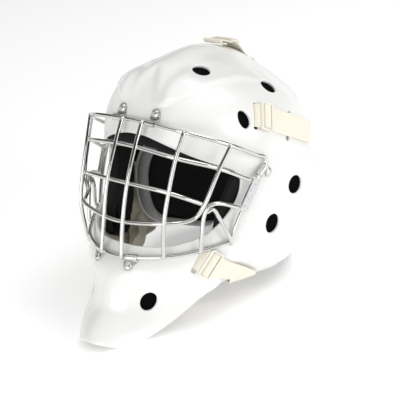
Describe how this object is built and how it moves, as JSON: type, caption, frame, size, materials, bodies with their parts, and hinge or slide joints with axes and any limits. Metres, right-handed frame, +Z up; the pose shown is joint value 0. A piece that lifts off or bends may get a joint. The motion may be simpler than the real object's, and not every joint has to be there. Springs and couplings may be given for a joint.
{
  "type": "hockey goalie mask",
  "caption": "White ice-hockey goaltender's mask with a welded wire cage, vents, elastic straps with slides, foam pads and a padded back plate.",
  "frame": {"origin": "middle of the footprint on the floor, under the mask as it rests on its chin and back plate", "axes": "-Y is where the wearer faces, +Y the back of the head, +X the wearer's left, +Z up"},
  "size_m": [0.2206, 0.318, 0.2361],
  "materials": {
    "shell_white": "glossy white moulded polycarbonate",
    "cage_steel": "bright polished",
    "label_white": "plain white sticker",
    "foam_black": "black closed-cell foam",
    "border_grey": "grey cloth binding over foam",
    "elastic_cream": "cream woven elastic webbing",
    "slide_cream": "cream moulded plastic"
  },
  "bodies": {
    "root": {"shell": "shell_white", "cage": "cage_steel", "label_left": "label_white", "label_right": "label_white", "clip_top_left": "cage_steel", "screw_top_left": "cage_steel", "clip_top_right": "cage_steel", "screw_top_right": "cage_steel", "clip_side_left": "cage_steel", "screw_side_left": "cage_steel", "clip_side_right": "cage_steel", "screw_side_right": "cage_steel", "clip_bottom_left": "cage_steel", "screw_bottom_left": "cage_steel", "clip_bottom_right": "cage_steel", "screw_bottom_right": "cage_steel", "upper_strap_left": "elastic_cream", "upper_slide_left": "slide_cream", "upper_strap_right": "elastic_cream", "upper_slide_right": "slide_cream", "lower_strap_left": "elastic_cream", "lower_slide_left": "slide_cream", "lower_strap_right": "elastic_cream", "lower_slide_right": "slide_cream", "top_strap": "elastic_cream", "top_slide": "slide_cream", "chin_strap": "elastic_cream", "back_plate": "shell_white", "back_pad": "foam_black", "back_pad_border": "border_grey", "forehead_pad": "foam_black", "side_pad_left": "foam_black", "side_pad_right": "foam_black"}
  },
  "joints": []
}
